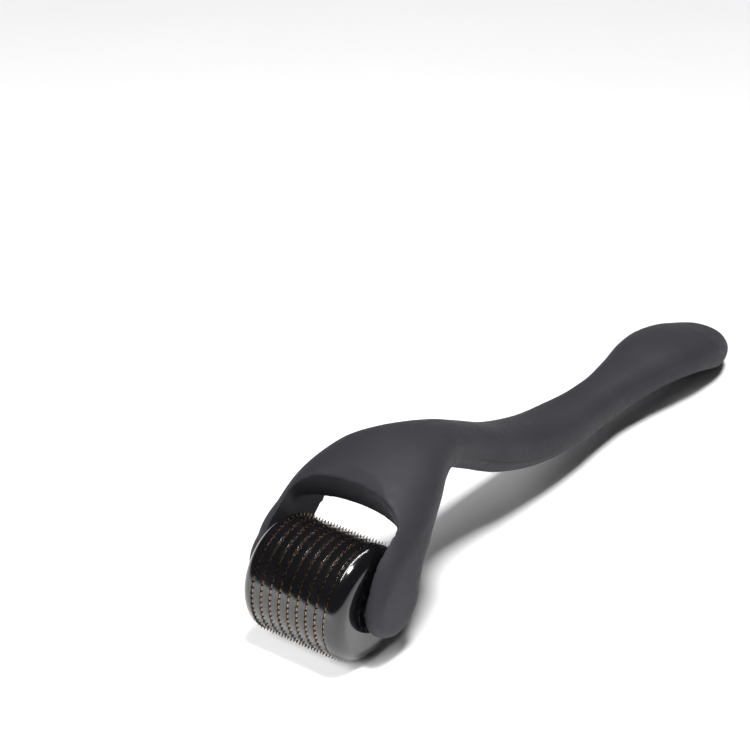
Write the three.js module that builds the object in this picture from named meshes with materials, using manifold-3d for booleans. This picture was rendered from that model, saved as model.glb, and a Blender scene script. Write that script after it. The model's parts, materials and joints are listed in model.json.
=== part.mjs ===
// Derma roller: a needle drum that spins freely between the two arms of a forked, hollow handle.
// Units are millimetres, +Z is up, +X runs from the drum to the tail, +Y is the roller's left.
// The roller stands on its drum and on a small flat under the tail, both at Z = 0.
import * as THREE from "three";
import { ParametricGeometry } from "three/addons/geometries/ParametricGeometry.js";
import { mergeVertices } from "three/addons/utils/BufferGeometryUtils.js";
import Module from "manifold-3d";

const wasm = await Module();
wasm.setup();

// ---- driving dimensions ----

// Drum
const ROW_COUNT = 9;
const ROW_PITCH = 1.9;
const NEEDLES_PER_DISC = 60;
const TIP_RADIUS = 10.85;
const RING_RADIUS = 10.35;
const DISC_THICKNESS = 0.3;
const STACK_GAP = 0.02; // air between stacked discs and rings
const HUB_RADIUS = 5.4; // to the corners of the six-sided hub that keys the discs and rings
const HUB_BORE = 3.2;
const HUB_CLEARANCE = 0.06;
const CAP_RADIUS = 10.5;
const CAP_FACE = 10.55; // distance of an end cap's flat face from the middle of the drum
const CAP_FILLET = 2.6;
const CAP_FILLET_STEPS = 5;
const CAP_RECESS = 0.5;
const SPIGOT_LENGTH = 4;
const AXLE_RADIUS = 2;
const AXLE_CLEARANCE = 0.06;

// Fork
const ARM_INNER = 11.4;
const ARM_OUTER = 14.3;
const ARM_LEAN = THREE.MathUtils.degToRad(53); // angle of the arms above the floor
const ARM_FRONT = 5.5; // how far the arms' front face stands off a line up from the axle
const ARM_END_X = 2.4;
const ARM_END_Z = 11.6;
const ARM_END_RADIUS = 6.5;
const ARM_EDGE = 1.8;
const SOCKET_DEPTH = 2.1;
const WINDOW_APEX = 19; // how far above the axle, along the arms, the arch reaches
const WINDOW_SPRING = 11; // where the arch leaves the arms
const WINDOW_LEAN = THREE.MathUtils.degToRad(24);
const BROW_X = 9.6; // back edge of the flat bevel above the window
const BROW_Z = 29.6;
const BROW_SLOPE = THREE.MathUtils.degToRad(38);

// Handle
const WALL = 1.8;
const CAVITY_START = 42;
const CAVITY_END = 131;
const SEAM_DROP = 0.35; // the seam lies this share of the half thickness below the middle
const SEAM_GAP = 0.06;
const PIN_STATIONS = [50, 74, 98, 122];
const PIN_RADIUS = 1.1;
const SOCKET_WALL = 1.0;

const AXLE_HEIGHT = TIP_RADIUS;
const DRUM_HALF = (ROW_COUNT * ROW_PITCH) / 2;

// Stations along the head and handle: centre x and z, half width, half thickness, and how square
// the section is above and below its middle (2 is an ellipse). The first lies in the arms' round
// ends, the last at the tail.
const STATIONS = [
  [2.4, 11.6, 14.3, 6.5, 6, 6],
  [3.9, 15.5, 14.3, 7, 5, 6],
  [6.9, 18.7, 14.1, 7.2, 2.8, 5],
  [10.3, 22, 13.8, 7.4, 2.2, 3.4],
  [14, 24.1, 12.8, 6.7, 2.2, 2.7],
  [18.6, 25.6, 11.2, 5.9, 2.3, 2.5],
  [23.2, 26, 9, 5, 2.4, 2.4],
  [28, 25.6, 7.1, 4.3, 2.4, 2.4],
  [33, 24.3, 5.9, 4, 2.4, 2.4],
  [41, 20.5, 5.5, 4.2, 2.4, 2.4],
  [50, 16, 5.9, 4.4, 2.4, 2.4],
  [60, 12.5, 6.1, 4.4, 2.4, 2.4],
  [68, 10.6, 6.1, 4.2, 2.4, 2.4],
  [77, 9.4, 5.8, 4.1, 2.4, 2.4],
  [85, 8.8, 5.2, 4, 2.4, 2.4],
  [93, 8.8, 5, 3.9, 2.4, 2.4],
  [103, 9.1, 6.1, 3.9, 2.4, 2.4],
  [112, 9.2, 7.8, 4.1, 2.4, 2.4],
  [120, 8.3, 8.9, 4.2, 2.4, 2.4],
  [127, 6.6, 9, 4.4, 2.4, 2.4],
  [132, 5.1, 8.4, 4.6, 2.3, 2.3],
  [136.5, 4.1, 6.9, 4.3, 2.2, 2.2],
  [139.5, 3.9, 4.9, 3.1, 2.1, 2.1],
  [141, 3.9, 2.8, 1.7, 2, 2],
];
const TAIL_END = STATIONS.at(-1)[0];

// ---- boolean helpers ----

function toManifold(geometry) {
  const bare = geometry.clone();
  bare.deleteAttribute("normal");
  bare.deleteAttribute("uv");
  const merged = mergeVertices(bare, 1e-4);
  const mesh = new wasm.Mesh({
    numProp: 3,
    vertProperties: Float32Array.from(merged.attributes.position.array),
    triVerts: Uint32Array.from(merged.index.array),
  });
  return new wasm.Manifold(mesh);
}

function toGeometry(solid) {
  const mesh = solid.getMesh();
  const geometry = new THREE.BufferGeometry();
  geometry.setAttribute("position", new THREE.BufferAttribute(mesh.vertProperties, 3));
  geometry.setIndex(new THREE.BufferAttribute(mesh.triVerts, 1));
  geometry.computeVertexNormals();
  return geometry;
}

const addAll = (solids) => solids.reduce((sum, solid) => sum.add(solid));

// A solid of revolution about Y: the outline holds [radius, y] pairs and starts and ends on the axis.
function turned(outline, segments) {
  const points = outline.map(([radius, y]) => new THREE.Vector2(radius, y));
  return new THREE.LatheGeometry(points, segments);
}

// A side view in X and Z, given thickness along Y between two planes.
function sideExtrusion(shape, fromY, toY, curveSegments = 12) {
  const options = { depth: toY - fromY, bevelEnabled: false, curveSegments };
  const geometry = new THREE.ExtrudeGeometry(shape, options);
  geometry.rotateX(Math.PI / 2);
  geometry.translate(0, toY, 0);
  return geometry;
}

function cylinderY(radius, fromY, toY, x, z, segments) {
  const geometry = new THREE.CylinderGeometry(radius, radius, toY - fromY, segments);
  geometry.translate(x, (fromY + toY) / 2, z);
  return geometry;
}

function cylinderZ(radius, fromZ, toZ, x, segments) {
  const geometry = new THREE.CylinderGeometry(radius, radius, toZ - fromZ, segments);
  geometry.rotateX(Math.PI / 2);
  geometry.translate(x, 0, (fromZ + toZ) / 2);
  return geometry;
}

// ---- handle surfaces ----

const spine = new THREE.CatmullRomCurve3(STATIONS.map(([x, z]) => new THREE.Vector3(x, 0, z)));
const sizes = new THREE.CatmullRomCurve3(STATIONS.map(([, , w, t, n]) => new THREE.Vector3(w, t, n)));
const undersides = new THREE.CatmullRomCurve3(STATIONS.map((row) => new THREE.Vector3(row[5], 0, 0)));

// A closed skin round the spine between two curve parameters, drawn in from the outside by `inset`.
// Each end is closed by a row of points on the spine itself.
function handleLoft(from, to, inset, lengthSteps, roundSteps) {
  const centre = new THREE.Vector3();
  const size = new THREE.Vector3();
  const across = new THREE.Vector3();
  const skin = (round, length, target) => {
    const row = Math.round(length * lengthSteps);
    const inside = THREE.MathUtils.clamp((row - 1) / (lengthSteps - 2), 0, 1);
    const along = from + (to - from) * inside;
    spine.getPoint(along, centre);
    sizes.getPoint(along, size);
    spine.getTangent(along, across);
    across.set(-across.z, 0, across.x);
    const closed = row === 0 || row === lengthSteps ? 0 : 1;
    const angle = (Math.round(round * roundSteps) % roundSteps) * ((2 * Math.PI) / roundSteps);
    const power = 2 / (Math.sin(angle) > 0 ? size.z : undersides.getPoint(along).x);
    const wide = Math.sign(Math.cos(angle)) * Math.abs(Math.cos(angle)) ** power;
    const high = Math.sign(Math.sin(angle)) * Math.abs(Math.sin(angle)) ** power;
    target.copy(centre).addScaledVector(across, closed * high * (size.y - inset));
    target.y = closed * wide * (size.x - inset);
  };
  return new ParametricGeometry(skin, roundSteps, lengthSteps);
}

// The curve parameter where the spine passes a given x.
function spineAt(x) {
  let low = 0;
  let high = 1;
  for (let step = 0; step < 30; step += 1) {
    const middle = (low + high) / 2;
    if (spine.getPoint(middle).x < x) low = middle;
    else high = middle;
  }
  return low;
}

function seamPoint(x, shift) {
  const along = spineAt(x);
  const centre = spine.getPoint(along);
  const drop = SEAM_DROP * sizes.getPoint(along).y;
  return [x, centre.z - drop + shift];
}

// Everything under the seam, from the front of the grip's cover to past the tail.
function belowSeam(shift, startX) {
  const shape = new THREE.Shape();
  const steps = 20;
  const endX = TAIL_END - 0.4;
  const top = Array.from({ length: steps + 1 }, (_, i) =>
    seamPoint(startX + ((endX - startX) * i) / steps, shift),
  );
  shape.moveTo(startX, -5);
  shape.lineTo(TAIL_END + 5, -5);
  shape.lineTo(TAIL_END + 5, top.at(-1)[1]);
  top.reverse().forEach(([x, z]) => shape.lineTo(x, z));
  shape.closePath();
  return toManifold(sideExtrusion(shape, -ARM_OUTER - 1, ARM_OUTER + 1));
}

// ---- handle pieces ----

const outer = toManifold(handleLoft(0, 1, 0, 50, 20));
const hollow = toManifold(handleLoft(spineAt(CAVITY_START), spineAt(CAVITY_END), WALL, 26, 12));
const armEnd = toManifold(
  turned(
    [
      [0, -ARM_OUTER],
      [ARM_END_RADIUS - ARM_EDGE, -ARM_OUTER],
      [ARM_END_RADIUS - 0.3 * ARM_EDGE, -ARM_OUTER + 0.3 * ARM_EDGE],
      [ARM_END_RADIUS, -ARM_OUTER + ARM_EDGE],
      [ARM_END_RADIUS, ARM_OUTER - ARM_EDGE],
      [ARM_END_RADIUS - 0.3 * ARM_EDGE, ARM_OUTER - 0.3 * ARM_EDGE],
      [ARM_END_RADIUS - ARM_EDGE, ARM_OUTER],
      [0, ARM_OUTER],
    ],
    24,
  ).translate(ARM_END_X, 0, ARM_END_Z),
);

// The drum's window: a round-topped arch seen along the arms' front, cut down and back through the head.
function windowCut() {
  const spring = WINDOW_SPRING * Math.cos(ARM_LEAN) - ARM_FRONT * Math.sin(ARM_LEAN);
  const apex = WINDOW_APEX * Math.cos(ARM_LEAN) - ARM_FRONT * Math.sin(ARM_LEAN);
  const rise = WINDOW_APEX * Math.sin(ARM_LEAN) + ARM_FRONT * Math.cos(ARM_LEAN) + AXLE_HEIGHT;
  const shape = new THREE.Shape();
  shape.moveTo(-30, -ARM_INNER);
  shape.lineTo(spring, -ARM_INNER);
  shape.absellipse(spring, 0, apex - spring, ARM_INNER, -Math.PI / 2, Math.PI / 2, false, 0);
  shape.lineTo(-30, ARM_INNER);
  shape.closePath();
  const geometry = new THREE.ExtrudeGeometry(shape, { depth: 70, bevelEnabled: false, curveSegments: 12 });
  geometry.translate(-apex, 0, -45);
  geometry.rotateY(-WINDOW_LEAN);
  geometry.translate(apex, 0, rise);
  return toManifold(geometry);
}

// The open space under the hood, between the arms and behind the drum.
function underHoodCut() {
  const side = new THREE.Shape();
  side.moveTo(-20, -10);
  side.lineTo(-20, 14);
  side.lineTo(7, 21.3);
  side.quadraticCurveTo(17, 23.8, 24, 20.4);
  side.lineTo(31, 16);
  side.lineTo(31, -10);
  side.closePath();
  const plan = new THREE.Shape();
  plan.moveTo(-20, -ARM_INNER);
  plan.lineTo(4, -ARM_INNER);
  plan.bezierCurveTo(18, -ARM_INNER, 20, -9, 29, -2.2);
  plan.lineTo(29, 2.2);
  plan.bezierCurveTo(20, 9, 18, ARM_INNER, 4, ARM_INNER);
  plan.lineTo(-20, ARM_INNER);
  plan.closePath();
  const tall = new THREE.ExtrudeGeometry(plan, { depth: 50, bevelEnabled: false, curveSegments: 6 });
  tall.translate(0, 0, -10);
  return toManifold(tall).intersect(toManifold(sideExtrusion(side, -15, 15, 6)));
}

// The flat bevel across the top of the hood, just above the window.
function browCut() {
  const block = new THREE.BoxGeometry(14, 40, 10);
  block.translate(-7, 0, 5);
  block.rotateY(-BROW_SLOPE);
  block.translate(BROW_X, 0, BROW_Z);
  return toManifold(block);
}

function axleSockets() {
  const radius = AXLE_RADIUS + AXLE_CLEARANCE;
  const reach = ARM_INNER + SOCKET_DEPTH;
  return toManifold(cylinderY(radius, -reach, reach, 0, AXLE_HEIGHT, 24));
}

const rest = new THREE.BoxGeometry(60, 60, 10);
rest.translate(TAIL_END - 20, 0, -5);
const floor = toManifold(rest);
const body = addAll([outer, armEnd])
  .subtract(windowCut())
  .subtract(underHoodCut())
  .subtract(browCut())
  .subtract(axleSockets())
  .subtract(floor);

// Round posts on the lower shell press into sockets that hang from the upper shell.
function pinPost(x, radius, fromBelow) {
  const along = spineAt(x);
  const centre = spine.getPoint(along).z;
  const half = sizes.getPoint(along).y;
  const foot = fromBelow ? centre - half + WALL / 2 : centre - SEAM_DROP * half + 0.3;
  const top = fromBelow ? centre + half - WALL - 0.6 : centre + half - WALL / 2;
  return toManifold(cylinderZ(radius, foot, top, x, 10));
}

const posts = addAll(PIN_STATIONS.map((x) => pinPost(x, PIN_RADIUS, true)));
const postRoom = addAll(PIN_STATIONS.map((x) => pinPost(x, PIN_RADIUS + 0.1, true)));
const sockets = addAll(PIN_STATIONS.map((x) => pinPost(x, PIN_RADIUS + SOCKET_WALL, false)));

const COVER_START = CAVITY_START - 3;
const upperShell = body
  .subtract(hollow)
  .subtract(belowSeam(SEAM_GAP, COVER_START))
  .add(sockets)
  .subtract(postRoom);
const lowerShell = body.subtract(hollow).intersect(belowSeam(0, COVER_START + SEAM_GAP)).add(posts);

// ---- drum pieces, modelled round the Y axis and moved to the axle by their group ----

function hexagon(radius, half) {
  return toManifold(cylinderY(radius, -half, half, 0, 0, 6));
}

const hubBore = hexagon(HUB_RADIUS + HUB_CLEARANCE, 5);
const hub = hexagon(HUB_RADIUS, DRUM_HALF).subtract(
  toManifold(cylinderY(HUB_BORE, -DRUM_HALF - 1, DRUM_HALF + 1, 0, 0, 24)),
);

// A thin disc with a ring of pointed needles; its tips stand clear of the rings on either side.
function needleDisc() {
  const shape = new THREE.Shape();
  const root = RING_RADIUS - 0.3;
  for (let corner = 0; corner < 2 * NEEDLES_PER_DISC; corner += 1) {
    const angle = (corner * Math.PI) / NEEDLES_PER_DISC;
    const radius = corner % 2 === 0 ? TIP_RADIUS : root;
    if (corner === 0) shape.moveTo(radius, 0);
    else shape.lineTo(radius * Math.cos(angle), radius * Math.sin(angle));
  }
  shape.closePath();
  const half = DISC_THICKNESS / 2;
  return toManifold(sideExtrusion(shape, -half, half)).subtract(hubBore);
}

function spacerRing() {
  const half = (ROW_PITCH - DISC_THICKNESS) / 2 - STACK_GAP;
  return toManifold(cylinderY(RING_RADIUS, -half, half, 0, 0, 36)).subtract(hubBore);
}

// An end cap: a round-edged disc with a shallow recess round its stub axle, and a spigot in the hub.
function endCap() {
  const seat = (ROW_COUNT - 1) * ROW_PITCH / 2 + DISC_THICKNESS / 2 + STACK_GAP;
  const outline = [[0, DRUM_HALF - SPIGOT_LENGTH], [HUB_BORE - 0.1, DRUM_HALF - SPIGOT_LENGTH]];
  outline.push([HUB_BORE - 0.1, DRUM_HALF + 0.05], [HUB_RADIUS + 0.4, DRUM_HALF + 0.05]);
  outline.push([HUB_RADIUS + 0.4, seat], [CAP_RADIUS, seat]);
  for (let step = 0; step <= CAP_FILLET_STEPS; step += 1) {
    const angle = (step * Math.PI) / (2 * CAP_FILLET_STEPS);
    const radius = CAP_RADIUS - CAP_FILLET * (1 - Math.cos(angle));
    outline.push([radius, CAP_FACE - CAP_FILLET * (1 - Math.sin(angle))]);
  }
  outline.push([4.2, CAP_FACE], [3.7, CAP_FACE - CAP_RECESS], [AXLE_RADIUS, CAP_FACE - CAP_RECESS]);
  const stubEnd = ARM_INNER + SOCKET_DEPTH - 0.3;
  outline.push([AXLE_RADIUS, stubEnd - 0.3], [AXLE_RADIUS - 0.3, stubEnd], [0, stubEnd]);
  return turned(outline, 36);
}

// ---- assembly ----

const finish = (color, roughness, metalness) =>
  new THREE.MeshStandardMaterial({ color, roughness, metalness });
const satinPlastic = finish(0x3a393d, 0.55, 0);
const glossPlastic = finish(0x141316, 0.15, 0);
const goldSteel = finish(0xa8794a, 0.3, 1);

function named(name, geometry, material) {
  const mesh = new THREE.Mesh(geometry, material);
  mesh.name = name;
  return mesh;
}

const roller = new THREE.Group();
roller.position.x = (TIP_RADIUS - TAIL_END) / 2;
roller.add(named("handle_upper_shell", toGeometry(upperShell), satinPlastic));
roller.add(named("handle_lower_shell", toGeometry(lowerShell), satinPlastic));

const drum = new THREE.Group();
drum.position.z = AXLE_HEIGHT;
drum.add(named("drum_hub", toGeometry(hub), glossPlastic));
const disc = toGeometry(needleDisc());
const ring = toGeometry(spacerRing());
for (let row = 0; row < ROW_COUNT; row += 1) {
  const offset = (row - (ROW_COUNT - 1) / 2) * ROW_PITCH;
  const blade = named(`needle_disc_${row + 1}`, disc, goldSteel);
  blade.position.y = offset;
  drum.add(blade);
  if (row < ROW_COUNT - 1) {
    const spacer = named(`spacer_ring_${row + 1}`, ring, glossPlastic);
    spacer.position.y = offset + ROW_PITCH / 2;
    drum.add(spacer);
  }
}
const leftCap = named("end_cap_left", endCap(), glossPlastic);
const rightCap = named("end_cap_right", endCap(), glossPlastic);
rightCap.rotation.z = Math.PI;
drum.add(leftCap, rightCap);
roller.add(drum);

export default roller;
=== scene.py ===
"""Looks for the derma roller: moulded handle shells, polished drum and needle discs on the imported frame.

The handle is shaped in millimetres in the roller's own frame, with the drum's ground contact at the
origin, and then moved to the row frame. Drum pieces are built straight in metres round the axle.
"""

import json
import math

import bmesh
import bpy
import numpy as np
from mathutils import Matrix, Vector


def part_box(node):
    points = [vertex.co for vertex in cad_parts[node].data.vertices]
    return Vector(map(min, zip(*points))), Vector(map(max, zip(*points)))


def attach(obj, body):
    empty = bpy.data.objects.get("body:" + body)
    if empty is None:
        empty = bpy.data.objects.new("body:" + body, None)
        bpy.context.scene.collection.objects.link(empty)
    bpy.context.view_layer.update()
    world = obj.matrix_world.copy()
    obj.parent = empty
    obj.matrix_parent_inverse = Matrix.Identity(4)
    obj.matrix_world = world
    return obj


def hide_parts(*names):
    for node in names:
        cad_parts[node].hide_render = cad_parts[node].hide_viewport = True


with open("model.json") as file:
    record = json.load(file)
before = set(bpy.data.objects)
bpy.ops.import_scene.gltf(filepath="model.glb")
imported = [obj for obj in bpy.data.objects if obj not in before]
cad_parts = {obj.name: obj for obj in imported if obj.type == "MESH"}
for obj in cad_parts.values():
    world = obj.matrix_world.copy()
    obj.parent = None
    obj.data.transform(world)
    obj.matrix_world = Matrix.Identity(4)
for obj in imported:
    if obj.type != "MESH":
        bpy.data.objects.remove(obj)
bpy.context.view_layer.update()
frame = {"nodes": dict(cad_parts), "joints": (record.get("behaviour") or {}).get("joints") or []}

MM = 0.001
AXLE = Vector(frame["joints"][0]["pos_m"])

# ---- camera and light ----

CAMERA_PLACE = (-0.2954, -0.17578, 0.20012)
CAMERA_HEADING = math.radians(35.76)  # from +X towards +Y
CAMERA_PITCH = math.radians(27.15)  # below the horizon
CAMERA_ROLL = math.radians(0.9)
CAMERA_LENS = 96.72
CAMERA_SENSOR = 36.0

KEY_PLACE = (-0.2, -0.25, 1.42)
KEY_SIZE = (0.3, 0.3)
KEY_POWER = 26.0
FILL_PLACE = (-0.24, 0.03, 0.13)
FILL_SIZE = (0.14, 0.14)
FILL_POWER = 0.8
STRIP_PLACE = (0.15, 0.13, 1.2)
STRIP_SIZE = (0.03, 1.9)
STRIP_POWER = 14.0
WORLD_GREY = 0.04

# ---- handle, in millimetres ----

AXLE_HEIGHT = AXLE.z / MM
ARM_INNER = 11.4
ARM_OUTER = 14.3
ARM_LEAN = math.radians(53)
ARM_FRONT = 5.5  # how far the window's front stands off a line up the arms from the axle
ARM_END = (2.4, 11.6)  # x and z of the middle of the arms' round ends
ARM_END_RADIUS = 6.5
ARM_END_STEPS = 96
ARM_EDGE = 1.8
SOCKET_RADIUS = 2.06
SOCKET_DEPTH = 2.1
SOCKET_STEPS = 48
WINDOW_APEX = 19.0  # how far up the arms the top of the window's arch lies, from the axle
WINDOW_SPRING = 11.0  # and where the arch springs from its straight sides
WINDOW_LEAN = math.radians(24)
WINDOW_AHEAD = -30
WINDOW_THROUGH = (-45, 25)
WINDOW_STEPS = 48
HOOD_START = (-20, 14)  # x and z of the front edge of the space under the hood
HOOD_ROOF = [(7, 21.3), (17, 23.8), (24, 20.4)]  # Bezier points of its ceiling, x and z
HOOD_END = (31, 16)
HOOD_RIGHT = [(4, -ARM_INNER), (18, -ARM_INNER), (20, -9), (29, -2.2)]  # and of its right side, x and y
HOOD_TOP = 40
BROW = (9.6, 29.6)  # x and z of the back edge of the bevel above the window
BROW_SLOPE = math.radians(38)
BROW_LENGTH = 14
SEAM_DROP = 0.35  # how far under the spine the seam runs, as a share of the half thickness
SEAM_GAP = 0.06
SEAM_SAMPLES = 400
SEAM_STRIDE = 6
COVER_START = 39.0  # x of the front end of the lower shell
FLOOR_CUT_LENGTH = 50
SKIN_ROWS = 260
SKIN_COLUMNS = 96
VOXEL = 0.3
UNION_RELAX = 2  # smoothing steps after the arms' ends have joined the skin
EDGE_RELAX = 8  # and after the window, the hood and the bevel have been cut
LEAST_GAP = 1e-4  # keeps the curve's gaps off zero where two stations are alike
BEYOND = 10  # how far a cutting block reaches past what it cuts
REACH = ARM_OUTER + BEYOND  # half width of a block that cuts right across the handle
HANDLE_SHARP = 40  # degrees between faces past which an edge is shaded sharp

# Centre x and z, half width, half thickness, then how square the section is above and below
# its middle (2 is an ellipse). The first lies in the arms' round ends, the last at the tail.
STATIONS = [
    (2.4, 11.6, 14.3, 6.5, 6, 6),
    (3.9, 15.3, 14.3, 6.9, 5, 6),
    (6.6, 19, 14.1, 6.9, 2.8, 4.2),
    (10.1, 22.1, 13.8, 7.2, 2.2, 3.2),
    (14, 24.1, 12.8, 6.7, 2.2, 2.7),
    (18.6, 25.6, 11.2, 5.9, 2.3, 2.5),
    (23.2, 26, 9, 5, 2.4, 2.4),
    (28, 25.6, 7.1, 4.3, 2.4, 2.4),
    (33, 24.3, 5.9, 4, 2.4, 2.4),
    (41, 20.5, 5.5, 4.2, 2.4, 2.4),
    (50, 16, 5.9, 4.4, 2.4, 2.4),
    (60, 12.5, 6.1, 4.4, 2.4, 2.4),
    (68, 10.6, 6.1, 4.2, 2.4, 2.4),
    (77, 9.4, 5.8, 4.1, 2.4, 2.4),
    (85, 8.8, 5.2, 4, 2.4, 2.4),
    (93, 8.8, 5, 3.9, 2.4, 2.4),
    (103, 9.1, 6.1, 3.9, 2.4, 2.4),
    (112, 9.2, 7.8, 4.1, 2.4, 2.4),
    (120, 8.3, 8.9, 4.2, 2.4, 2.4),
    (127, 6.7, 9, 4.4, 2.4, 2.4),
    (132, 5.1, 8.4, 4.6, 2.3, 2.3),
    (136.5, 4.1, 6.9, 4.3, 2.2, 2.2),
    (139.5, 3.9, 4.9, 3.1, 2.1, 2.1),
    (141, 3.9, 2.8, 1.7, 2, 2),
]
TAIL_END = STATIONS[-1][0]

# ---- drum, in metres ----

HUB_CORNER = 5.46 * MM
BORE_LIMIT = 1.01 * HUB_CORNER  # points nearer the axle than this belong to a bore
ROW_COUNT = 9
NEEDLE_COUNT = 60
RIM_STEPS = 4 * NEEDLE_COUNT  # so a needle's foot takes every fourth facet of the disc's rim
PLATE_RADIUS = 10.25 * MM
RIM_LIMIT = 0.999 * PLATE_RADIUS  # points farther out than this belong to a disc's rim
DISC_HALF = 0.11 * MM
NEEDLE_WAIST = 0.55  # how far up a needle its taper steepens
NEEDLE_TAPER = 0.7  # width left at the waist
RING_RADIUS = 10.35 * MM
RING_EASE = 0.05 * MM
RING_STEPS = 180
CAP_RADIUS = 10.5 * MM
CAP_SEAT = 7.77 * MM  # inner face, next to the last needle disc
CAP_FACE = 10.55 * MM
CAP_FILLET = 2.7 * MM
CAP_EASE = 0.2 * MM
CAP_STEPS = 192
HUB_ROOM = 5.8 * MM  # radius of the pocket that the hub's end stands in
CAP_SHOULDER = 8.6 * MM  # bottom of that pocket
SPIGOT_RADIUS = 3.1 * MM
RECESS_RADIUS = 4.4 * MM
RECESS_FLOOR_RADIUS = 3.8 * MM
RECESS_DEPTH = 0.5 * MM
RECESS_LIP = (0.25 * MM, 0.08 * MM)
STUB_RADIUS = 2.0 * MM
STUB_ROOT = 0.25 * MM
STUB_BEVEL = 0.3 * MM
RING_SHARP = 35
NEEDLE_SHARP = 25
CAP_SHARP = 30

# ---- colours, each as its darker and lighter shade, and noise ----

SATIN = (0.037, 0.0355, 0.042), (0.044, 0.0425, 0.050)
POLISHED = (0.004, 0.004, 0.005), (0.007, 0.0065, 0.008)
STEEL = (0.16, 0.105, 0.065), (0.28, 0.19, 0.12)
PALE = (0.86, 0.86, 0.87), (0.9, 0.9, 0.9)
NOISE_SPAN = (0.3, 0.7)  # nearly all of a noise texture's values lie between these


# ---- mesh helpers ----


def grid_mesh(name, rings, wrap_rows=False):
    """A closed skin over rings of points, each ring closed; rows meet end to end if wrap_rows."""
    rings = np.asarray(rings, float)
    rows, columns = rings.shape[:2]
    faces = []
    for row in range(rows if wrap_rows else rows - 1):
        after = (row + 1) % rows
        for column in range(columns):
            beside = (column + 1) % columns
            here = row * columns
            there = after * columns
            faces.append((here + column, here + beside, there + beside, there + column))
    mesh = bpy.data.meshes.new(name)
    mesh.from_pydata(rings.reshape(-1, 3).tolist(), [], faces)
    return mesh


def tidy(mesh):
    """Merges points that lie together and turns every face outwards."""
    work = bmesh.new()
    work.from_mesh(mesh)
    bmesh.ops.remove_doubles(work, verts=work.verts, dist=1e-7)
    bmesh.ops.recalc_face_normals(work, faces=work.faces)
    work.to_mesh(mesh)
    work.free()


def add_object(name, mesh):
    """Puts a mesh in the scene as an object of its own."""
    piece = bpy.data.objects.new(name, mesh)
    bpy.context.scene.collection.objects.link(piece)
    return piece


def shade(mesh, sharp_degrees):
    """Smooth shading, broken only where faces meet at more than the given angle."""
    mesh.shade_smooth()
    work = bmesh.new()
    work.from_mesh(mesh)
    for edge in work.edges:
        edge.smooth = len(edge.link_faces) != 2 or edge.calc_face_angle() < math.radians(sharp_degrees)
    work.to_mesh(mesh)
    work.free()


def apply_modifiers(piece):
    """Bakes a piece's modifiers into its mesh."""
    graph = bpy.context.evaluated_depsgraph_get()
    made = bpy.data.meshes.new_from_object(piece.evaluated_get(graph))
    piece.modifiers.clear()
    spent = piece.data
    piece.data = made
    bpy.data.meshes.remove(spent)


def combine(piece, other, operation):
    """Cuts or joins another solid into this one, and removes the other."""
    modifier = piece.modifiers.new("combine", "BOOLEAN")
    modifier.operation = operation
    modifier.solver = "EXACT"
    modifier.object = other
    apply_modifiers(piece)
    spent = other.data
    bpy.data.objects.remove(other)
    bpy.data.meshes.remove(spent)


def prism(name, outline, low, high, lift):
    """A closed prism: lift(u, v, w) places each outline point (u, v) at the two ends w."""
    ends = [[lift(u, v, w) for u, v in outline] for w in (low, high)]
    count = len(outline)
    faces = [(i, (i + 1) % count, count + (i + 1) % count, count + i) for i in range(count)]
    faces += [tuple(range(count)), tuple(range(2 * count - 1, count - 1, -1))]
    mesh = bpy.data.meshes.new(name)
    mesh.from_pydata(ends[0] + ends[1], [], faces)
    tidy(mesh)
    return add_object(name, mesh)


def side_view(u, v, w):
    """Lift for an outline in x and z that runs through along y."""
    return (u, w, v)


def plan_view(u, v, w):
    """Lift for an outline in x and y that runs through along z."""
    return (u, v, w)


def bezier(points, steps):
    """Points along a Bezier curve of any degree."""
    degree = len(points) - 1
    made = []
    for step in range(steps + 1):
        t = step / steps
        weights = [math.comb(degree, i) * t**i * (1 - t) ** (degree - i) for i in range(degree + 1)]
        made.append(tuple(sum(w * p[k] for w, p in zip(weights, points)) for k in range(2)))
    return made


# ---- handle shape ----


def curve_value(points, t):
    """A centripetal Catmull-Rom curve through the points, and its direction, at t from 0 to 1."""
    place = t * (len(points) - 1)
    start = min(int(place), len(points) - 2)
    weight = place - start
    middle = points[start], points[start + 1]
    before = points[start - 1] if start > 0 else 2 * middle[0] - middle[1]
    after = points[start + 2] if start + 2 < len(points) else 2 * middle[1] - middle[0]
    gaps = [
        max(np.linalg.norm(b - a) ** 0.5, LEAST_GAP)
        for a, b in ((before, middle[0]), middle, (middle[1], after))
    ]
    leave = (middle[0] - before) / gaps[0] - (middle[1] - before) / (gaps[0] + gaps[1])
    leave = (leave + (middle[1] - middle[0]) / gaps[1]) * gaps[1]
    arrive = (middle[1] - middle[0]) / gaps[1] - (after - middle[0]) / (gaps[1] + gaps[2])
    arrive = (arrive + (after - middle[1]) / gaps[2]) * gaps[1]
    cubic = 2 * middle[0] - 2 * middle[1] + leave + arrive
    square = -3 * middle[0] + 3 * middle[1] - 2 * leave - arrive
    value = middle[0] + leave * weight + square * weight**2 + cubic * weight**3
    slope = leave + 2 * square * weight + 3 * cubic * weight**2
    return value, slope


SPINE = [np.array(station[:2], float) for station in STATIONS]
SIZES = [np.array(station[2:], float) for station in STATIONS]


def section(t, columns):
    """The ring of skin points round the spine at t: a superellipse square to the spine."""
    centre, slope = curve_value(SPINE, t)
    half_width, half_thickness, above, below = curve_value(SIZES, t)[0]
    slope = slope / np.linalg.norm(slope)
    angle = np.arange(columns) * 2 * np.pi / columns
    power = np.where(np.sin(angle) > 0, 2 / above, 2 / below)
    wide = np.sign(np.cos(angle)) * np.abs(np.cos(angle)) ** power * half_width
    high = np.sign(np.sin(angle)) * np.abs(np.sin(angle)) ** power * half_thickness
    return np.stack([centre[0] - slope[1] * high, wide, centre[1] + slope[0] * high], 1)


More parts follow.
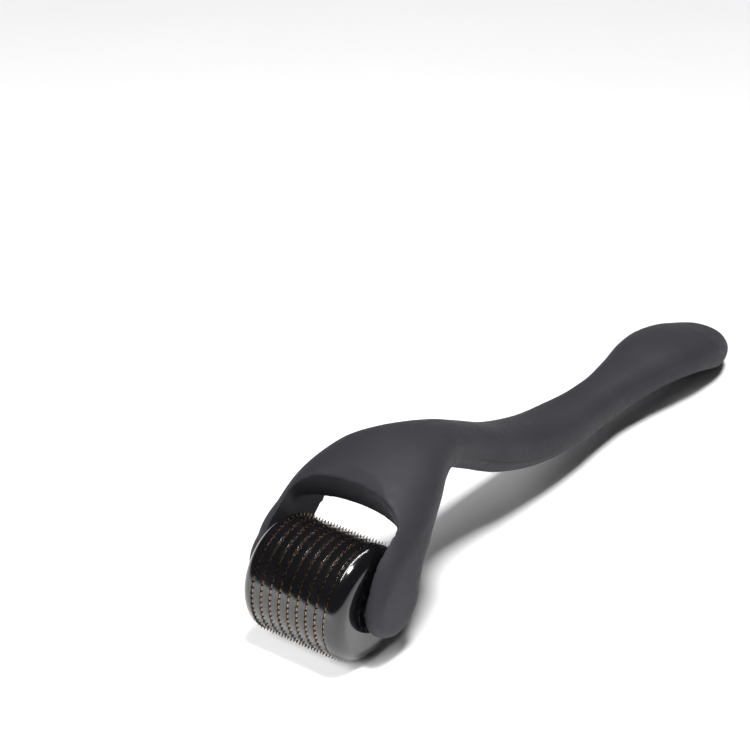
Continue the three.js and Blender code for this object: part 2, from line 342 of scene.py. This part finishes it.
def handle_skin():
    """The handle's outer skin, from the arms' round ends to the tail."""
    rings = [section(t, SKIN_COLUMNS) for t in np.linspace(0, 1, SKIN_ROWS)]
    first = np.repeat([[SPINE[0][0], 0, SPINE[0][1]]], SKIN_COLUMNS, 0)
    last = np.repeat([[SPINE[-1][0], 0, SPINE[-1][1]]], SKIN_COLUMNS, 0)
    mesh = grid_mesh("handle_skin", [first, *rings, last])
    tidy(mesh)
    return add_object("handle_skin", mesh)


def turned_mesh(name, outline, steps, centre, closed=False):
    """A solid of revolution about Y through the centre, from (radius, y) pairs."""
    angle = np.arange(steps) * 2 * np.pi / steps
    rings = [
        np.stack(
            [centre[0] + r * np.cos(angle), np.full(steps, centre[1] + y), centre[2] + r * np.sin(angle)], 1
        )
        for r, y in outline
    ]
    mesh = grid_mesh(name, rings, closed)
    tidy(mesh)
    return mesh


def corner(radius, y, fillet, steps):
    """A quarter round at the outer corner of a turned outline, from the side face to the end face."""
    turns = [step * math.pi / 2 / steps for step in range(steps + 1)]
    return [
        (radius - fillet * (1 - math.cos(turn)), y - fillet * (1 - math.sin(turn))) for turn in turns
    ]


def arm_ends():
    """The round ends of both arms, as one barrel across the axle that the window cut divides."""
    right_side = corner(ARM_END_RADIUS, ARM_OUTER, ARM_EDGE, steps=6)
    left_side = [(radius, -y) for radius, y in reversed(right_side)]
    outline = [(0, -ARM_OUTER), *left_side, *right_side, (0, ARM_OUTER)]
    mesh = turned_mesh("arm_ends", outline, ARM_END_STEPS, (ARM_END[0], 0, ARM_END[1]))
    return add_object("arm_ends", mesh)


def window_cut():
    """The drum's window: a round-topped arch cut down and back through the head."""
    front = ARM_FRONT * math.sin(ARM_LEAN)
    spring = WINDOW_SPRING * math.cos(ARM_LEAN) - front
    apex = WINDOW_APEX * math.cos(ARM_LEAN) - front
    rise = WINDOW_APEX * math.sin(ARM_LEAN) + ARM_FRONT * math.cos(ARM_LEAN) + AXLE_HEIGHT
    turns = [math.pi * step / WINDOW_STEPS - math.pi / 2 for step in range(WINDOW_STEPS + 1)]
    outline = [(WINDOW_AHEAD, -ARM_INNER)]
    outline += [(spring + (apex - spring) * math.cos(a), ARM_INNER * math.sin(a)) for a in turns]
    outline += [(WINDOW_AHEAD, ARM_INNER)]

    def lean(u, v, w):
        along = u - apex
        x = apex + along * math.cos(WINDOW_LEAN) - w * math.sin(WINDOW_LEAN)
        z = rise + along * math.sin(WINDOW_LEAN) + w * math.cos(WINDOW_LEAN)
        return (x, v, z)

    return prism("window_cut", outline, *WINDOW_THROUGH, lean)


def hood_cut():
    """The open space under the hood, between the arms and behind the drum."""
    side = [(HOOD_START[0], -BEYOND), HOOD_START]
    side += bezier(HOOD_ROOF, steps=12)
    side += [HOOD_END, (HOOD_END[0], -BEYOND)]
    plan = [(HOOD_START[0], -ARM_INNER), *bezier(HOOD_RIGHT, steps=16)]
    plan += [(x, -y) for x, y in reversed(plan)]
    cut = prism("hood_cut", plan, -BEYOND, HOOD_TOP, plan_view)
    combine(cut, prism("hood_side", side, -REACH, REACH, side_view), "INTERSECT")
    return cut


def brow_cut():
    """The flat bevel across the top of the hood, just above the window."""
    back = Vector(BROW)
    along = Vector((-math.cos(BROW_SLOPE), -math.sin(BROW_SLOPE)))
    out = Vector((along.y, -along.x)) * BEYOND
    front = back + along * BROW_LENGTH
    return prism("brow_cut", [back, front, front + out, back + out], -REACH, REACH, side_view)


def seam_line(shift):
    """Points along the seam between the shells, from the front of the cover to the tail."""
    points = []
    for t in np.linspace(0, 1, SEAM_SAMPLES):
        centre = curve_value(SPINE, t)[0]
        if centre[0] > COVER_START:
            half_thickness = curve_value(SIZES, t)[0][1]
            points.append((float(centre[0]), float(centre[1] - SEAM_DROP * half_thickness + shift)))
    return points[::SEAM_STRIDE]


def below_seam(shift, start):
    """Everything under the seam from x = start back, with the seam moved up by shift."""
    line = seam_line(shift)
    back = TAIL_END + BEYOND
    outline = [(start, -BEYOND), (start, line[0][1]), *line[1:], (back, line[-1][1]), (back, -BEYOND)]
    return prism("below_seam", outline, -REACH, REACH, side_view)


def join(piece, other):
    """Adds another object's faces to this one and removes it; a voxel remesh then makes them one skin."""
    work = bmesh.new()
    work.from_mesh(piece.data)
    work.from_mesh(other.data)
    work.to_mesh(piece.data)
    work.free()
    spent = other.data
    bpy.data.objects.remove(other)
    bpy.data.meshes.remove(spent)


def one_skin(piece, relax_steps):
    """Remakes a piece as one even skin, then relaxes it so that cut edges come out moulded, not sharp."""
    remesh = piece.modifiers.new("remesh", "REMESH")
    remesh.mode = "VOXEL"
    remesh.voxel_size = VOXEL
    relax = piece.modifiers.new("relax", "SMOOTH")
    relax.factor = 0.5
    relax.iterations = relax_steps
    apply_modifiers(piece)


def floor_cut():
    """What lies under the floor plane, so that the tail gets its rest flat."""
    front = TAIL_END - FLOOR_CUT_LENGTH
    back = TAIL_END + BEYOND
    outline = [(front, -BEYOND), (back, -BEYOND), (back, 0), (front, 0)]
    return prism("floor_cut", outline, -REACH, REACH, side_view)


def axle_sockets():
    """One rod across both arms, as long as from the bottom of one blind socket to the other."""
    end = ARM_INNER + SOCKET_DEPTH
    rod = [(0, -end), (SOCKET_RADIUS, -end), (SOCKET_RADIUS, end), (0, end)]
    return add_object("sockets", turned_mesh("sockets", rod, SOCKET_STEPS, (0, 0, AXLE_HEIGHT)))


def handle_body():
    """The whole moulded handle with softened edges, before it is parted at the seam."""
    body = handle_skin()
    join(body, arm_ends())
    one_skin(body, UNION_RELAX)
    combine(body, window_cut(), "DIFFERENCE")
    combine(body, hood_cut(), "DIFFERENCE")
    combine(body, brow_cut(), "DIFFERENCE")
    one_skin(body, EDGE_RELAX)
    combine(body, floor_cut(), "DIFFERENCE")
    combine(body, axle_sockets(), "DIFFERENCE")
    return body


def copy_of(piece, name):
    return add_object(name, piece.data.copy())


def to_row_frame(piece):
    """Moves a piece made in millimetres to its place in the shared frame."""
    piece.data.transform(Matrix.Translation((AXLE.x, 0, 0)) @ Matrix.Scale(MM, 4))


def build_handle(material):
    """Parts the handle at the seam into its upper and lower shells."""
    upper = handle_body()
    upper.name = "upper_shell"
    lower = copy_of(upper, "lower_shell")
    combine(upper, below_seam(SEAM_GAP, COVER_START), "DIFFERENCE")
    combine(lower, below_seam(0, COVER_START + SEAM_GAP), "INTERSECT")
    for piece, node in ((upper, "handle_upper_shell"), (lower, "handle_lower_shell")):
        to_row_frame(piece)
        shade(piece.data, HANDLE_SHARP)
        piece.data.materials.clear()
        piece.data.materials.append(material)
        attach(piece, "handle")
        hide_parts(node)


# ---- drum ----


def hexagon(angle, corner_radius):
    """Distance from the middle of a six-sided bore to its wall."""
    turn = (angle % (math.pi / 3)) - math.pi / 6
    return corner_radius * math.cos(math.pi / 6) / math.cos(turn)


def key_bore(mesh, centre):
    """Moves the points of a bore onto the hub's six sides."""
    for vertex in mesh.vertices:
        across = Vector((vertex.co.x - centre[0], 0, vertex.co.z - centre[2]))
        if across.length < BORE_LIMIT:
            angle = math.atan2(across.z, across.x)
            wall = hexagon(angle, HUB_CORNER)
            vertex.co.x = centre[0] + wall * math.cos(angle)
            vertex.co.z = centre[2] + wall * math.sin(angle)


def finish_drum_piece(mesh, node, material, sharp_degrees):
    """Puts a drum mesh in the scene on the drum's body, in place of its CAD node."""
    piece = add_object(mesh.name, mesh)
    shade(mesh, sharp_degrees)
    mesh.materials.append(material)
    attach(piece, "drum")
    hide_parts(node)
    return piece


def middle_of(node):
    """The middle of a CAD node on the axle, with half its width and half its height."""
    low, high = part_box(node)
    return (AXLE.x, (low.y + high.y) / 2, AXLE.z), (high.y - low.y) / 2, (high.z - low.z) / 2


def spacer_ring(number, material):
    """A polished ring with eased edges on the hub's six sides."""
    node = f"spacer_ring_{number}"
    centre, half, _ = middle_of(node)
    edge = corner(RING_RADIUS, half, RING_EASE, steps=4)
    outline = [(HUB_CORNER, -half), *[(r, -y) for r, y in reversed(edge)], *edge, (HUB_CORNER, half)]
    mesh = turned_mesh(f"ring_{number}", outline, RING_STEPS, centre, closed=True)
    key_bore(mesh, centre)
    return finish_drum_piece(mesh, node, material, RING_SHARP)


def needle_disc(number, material):
    """A thin etched disc whose rim carries sixty fine pointed needles."""
    node = f"needle_disc_{number}"
    centre, _, tip_radius = middle_of(node)
    outline = [
        (HUB_CORNER, -DISC_HALF),
        (PLATE_RADIUS, -DISC_HALF),
        (PLATE_RADIUS, DISC_HALF),
        (HUB_CORNER, DISC_HALF),
    ]
    mesh = turned_mesh(f"disc_{number}", outline, RIM_STEPS, centre, closed=True)
    key_bore(mesh, centre)
    work = bmesh.new()
    work.from_mesh(mesh)
    rim = [f for f in work.faces if all(is_on_rim(v.co, centre) for v in f.verts)]
    rim.sort(key=lambda f: turn_of(f.calc_center_median(), centre))
    for face in rim[:: RIM_STEPS // NEEDLE_COUNT]:
        raise_needle(work, face, centre, tip_radius)
    bmesh.ops.recalc_face_normals(work, faces=work.faces)
    work.to_mesh(mesh)
    work.free()
    return finish_drum_piece(mesh, node, material, NEEDLE_SHARP)


def turn_of(point, centre):
    """A point's angle round the axle."""
    return math.atan2(point.z - centre[2], point.x - centre[0])


def is_on_rim(point, centre):
    return math.hypot(point.x - centre[0], point.z - centre[2]) > RIM_LIMIT


def raise_needle(work, face, centre, tip_radius):
    """Draws one rim facet out into a needle that narrows to a point."""
    middle = face.calc_center_median()
    out = Vector((middle.x - centre[0], 0, middle.z - centre[2])).normalized()
    waist_radius = PLATE_RADIUS + NEEDLE_WAIST * (tip_radius - PLATE_RADIUS)
    waist = Vector((centre[0], middle.y, centre[2])) + out * waist_radius
    tip = work.verts.new(Vector((centre[0], middle.y, centre[2])) + out * tip_radius)
    foot = list(face.verts)
    ring = []
    for vertex in foot:
        aside = vertex.co - middle
        ring.append(work.verts.new(waist + aside * NEEDLE_TAPER))
    work.faces.remove(face)
    for i in range(4):
        after = (i + 1) % 4
        work.faces.new((foot[i], foot[after], ring[after], ring[i]))
        work.faces.new((ring[i], ring[after], tip))


def end_cap(side, material):
    """A drum end with a round rim, a shallow recess and a stub axle; the left one is at +Y."""
    sign = 1 if side == "left" else -1
    node = f"end_cap_{side}"
    low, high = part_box(node)
    stub_end = max(abs(low.y), abs(high.y))
    inner_end = min(abs(low.y), abs(high.y))
    outline = [(0, inner_end), (SPIGOT_RADIUS, inner_end), (SPIGOT_RADIUS, CAP_SHOULDER)]
    outline += [(HUB_ROOM, CAP_SHOULDER), (HUB_ROOM, CAP_SEAT)]
    outline += [(CAP_RADIUS - CAP_EASE, CAP_SEAT), (CAP_RADIUS, CAP_SEAT + CAP_EASE)]
    outline += corner(CAP_RADIUS, CAP_FACE, CAP_FILLET, steps=12)
    floor = CAP_FACE - RECESS_DEPTH
    outline += [(RECESS_RADIUS, CAP_FACE), (RECESS_RADIUS - RECESS_LIP[0], CAP_FACE - RECESS_LIP[1])]
    outline += [(RECESS_FLOOR_RADIUS, floor)]
    outline += [(STUB_RADIUS + STUB_ROOT, floor), (STUB_RADIUS, floor + STUB_ROOT)]
    outline += [(STUB_RADIUS, stub_end - STUB_BEVEL), (STUB_RADIUS - STUB_BEVEL, stub_end), (0, stub_end)]
    outline = [(r, sign * y) for r, y in outline]
    mesh = turned_mesh(f"cap_{side}", outline, CAP_STEPS, (AXLE.x, 0, AXLE.z))
    return finish_drum_piece(mesh, node, material, CAP_SHARP)


# ---- materials ----


def new_material(name):
    """A material with its Principled shader and object coordinates ready to use."""
    material = bpy.data.materials.new(name)
    material.use_nodes = True
    nodes = material.node_tree.nodes
    shader = nodes["Principled BSDF"]
    place = nodes.new("ShaderNodeTexCoord")
    return material, shader, place.outputs["Object"]


def noise(material, place, scale, detail):
    """A noise texture's value, its scale in bumps per metre or so."""
    node = material.node_tree.nodes.new("ShaderNodeTexNoise")
    node.inputs["Scale"].default_value = scale
    node.inputs["Detail"].default_value = detail
    material.node_tree.links.new(place, node.inputs["Vector"])
    return node.outputs["Fac"]


def spread(material, value, low, high, socket):
    """Feeds a noise value to a socket, spread between two numbers."""
    node = material.node_tree.nodes.new("ShaderNodeMapRange")
    node.inputs["From Min"].default_value = NOISE_SPAN[0]
    node.inputs["From Max"].default_value = NOISE_SPAN[1]
    node.inputs["To Min"].default_value = low
    node.inputs["To Max"].default_value = high
    material.node_tree.links.new(value, node.inputs["Value"])
    material.node_tree.links.new(node.outputs["Result"], socket)


def tint(material, value, shades, socket):
    """Feeds a noise value to a colour socket through a ramp between two shades."""
    dark, light = shades
    node = material.node_tree.nodes.new("ShaderNodeValToRGB")
    node.color_ramp.elements[0].position = NOISE_SPAN[0]
    node.color_ramp.elements[0].color = (*dark, 1)
    node.color_ramp.elements[1].position = NOISE_SPAN[1]
    node.color_ramp.elements[1].color = (*light, 1)
    material.node_tree.links.new(value, node.inputs["Fac"])
    material.node_tree.links.new(node.outputs["Color"], socket)


def grain(material, shader, height, depth):
    """Surface relief: height is a noise value and depth its size in metres."""
    node = material.node_tree.nodes.new("ShaderNodeBump")
    node.inputs["Strength"].default_value = 1.0
    node.inputs["Distance"].default_value = depth
    material.node_tree.links.new(height, node.inputs["Height"])
    material.node_tree.links.new(node.outputs["Normal"], shader.inputs["Normal"])


def satin_plastic():
    material, shader, place = new_material("satin_charcoal_plastic")
    tint(material, noise(material, place, scale=70, detail=4), SATIN, shader.inputs["Base Color"])
    spread(material, noise(material, place, scale=900, detail=5), 0.52, 0.62, shader.inputs["Roughness"])
    grain(material, shader, noise(material, place, scale=5200, detail=2), 6e-6)
    shader.inputs["IOR"].default_value = 1.5
    shader.inputs["Specular IOR Level"].default_value = 0.12
    return material


def polished_plastic():
    material, shader, place = new_material("polished_black_plastic")
    tint(material, noise(material, place, scale=160, detail=3), POLISHED, shader.inputs["Base Color"])
    spread(material, noise(material, place, scale=420, detail=6), 0.1, 0.2, shader.inputs["Roughness"])
    grain(material, shader, noise(material, place, scale=700, detail=1), 1.5e-6)
    shader.inputs["IOR"].default_value = 1.58
    shader.inputs["Specular IOR Level"].default_value = 0.56
    return material


def gold_steel():
    material, shader, place = new_material("bronze_gold_steel")
    tint(material, noise(material, place, scale=900, detail=4), STEEL, shader.inputs["Base Color"])
    spread(material, noise(material, place, scale=2500, detail=4), 0.24, 0.4, shader.inputs["Roughness"])
    grain(material, shader, noise(material, place, scale=4000, detail=2), 2e-6)
    shader.inputs["Metallic"].default_value = 1.0
    return material


def pale_floor():
    material, shader, place = new_material("pale_floor")
    tint(material, noise(material, place, scale=3, detail=3), PALE, shader.inputs["Base Color"])
    spread(material, noise(material, place, scale=40, detail=3), 0.7, 0.8, shader.inputs["Roughness"])
    shader.inputs["Specular IOR Level"].default_value = 0.2
    return material


# ---- stage ----


def build_floor():
    """A plain pale floor under the roller."""
    half = 3.0
    corners = [(-half, -half, 0), (half, -half, 0), (half, half, 0), (-half, half, 0)]
    mesh = bpy.data.meshes.new("floor")
    mesh.from_pydata(corners, [], [(0, 1, 2, 3)])
    mesh.materials.append(pale_floor())
    floor = add_object("floor", mesh)
    return floor


def build_camera():
    """The photograph's viewpoint, as it was fitted to the drum's rows and rim."""
    forward = Vector(
        (
            math.cos(CAMERA_HEADING) * math.cos(CAMERA_PITCH),
            math.sin(CAMERA_HEADING) * math.cos(CAMERA_PITCH),
            -math.sin(CAMERA_PITCH),
        )
    )
    right = Vector((math.sin(CAMERA_HEADING), -math.cos(CAMERA_HEADING), 0))
    right = Matrix.Rotation(-CAMERA_ROLL, 3, forward) @ right
    up = right.cross(forward)
    data = bpy.data.cameras.new("camera")
    data.lens = CAMERA_LENS
    data.sensor_width = CAMERA_SENSOR
    data.clip_start = 0.01
    camera = bpy.data.objects.new("camera", data)
    turned = Matrix((right, up, -forward)).transposed().to_4x4()
    camera.matrix_world = Matrix.Translation(CAMERA_PLACE) @ turned
    bpy.context.scene.collection.objects.link(camera)
    bpy.context.scene.camera = camera


def area_light(name, place, size, power):
    """A soft light aimed at the middle of the roller; its second size runs round the drum's axis."""
    data = bpy.data.lights.new(name, "AREA")
    data.shape = "RECTANGLE"
    data.size, data.size_y = size
    data.energy = power
    light = bpy.data.objects.new(name, data)
    back = Vector(place).normalized()
    along = Vector((0, 1, 0)).cross(back).normalized()
    turned = Matrix((along.cross(back), along, back)).transposed().to_4x4()
    light.matrix_world = Matrix.Translation(place) @ turned
    bpy.context.scene.collection.objects.link(light)
    return light


def build_light(floor):
    """A key from above, a fill that lights only the floor, and a strip without diffuse light."""
    area_light("key", KEY_PLACE, KEY_SIZE, KEY_POWER)
    fill = area_light("fill", FILL_PLACE, FILL_SIZE, FILL_POWER)
    fill.visible_glossy = False
    fill.light_linking.receiver_collection = bpy.data.collections.new("lit_by_fill")
    fill.light_linking.receiver_collection.objects.link(floor)
    strip = area_light("strip", STRIP_PLACE, STRIP_SIZE, STRIP_POWER)
    strip.visible_diffuse = False
    world = bpy.data.worlds.new("studio")
    world.use_nodes = True
    background = world.node_tree.nodes["Background"]
    background.inputs["Color"].default_value = (WORLD_GREY, WORLD_GREY, WORLD_GREY, 1)
    bpy.context.scene.world = world
    bpy.context.scene.view_settings.view_transform = "Standard"


# ---- build ----

build_camera()
build_light(build_floor())
build_handle(satin_plastic())

polished = polished_plastic()
metal = gold_steel()
for number in range(1, ROW_COUNT + 1):
    needle_disc(number, metal)
for number in range(1, ROW_COUNT):
    spacer_ring(number, polished)
end_cap("left", polished)
end_cap("right", polished)
hub = frame["nodes"]["drum_hub"]
hub.data.materials.clear()
hub.data.materials.append(polished)
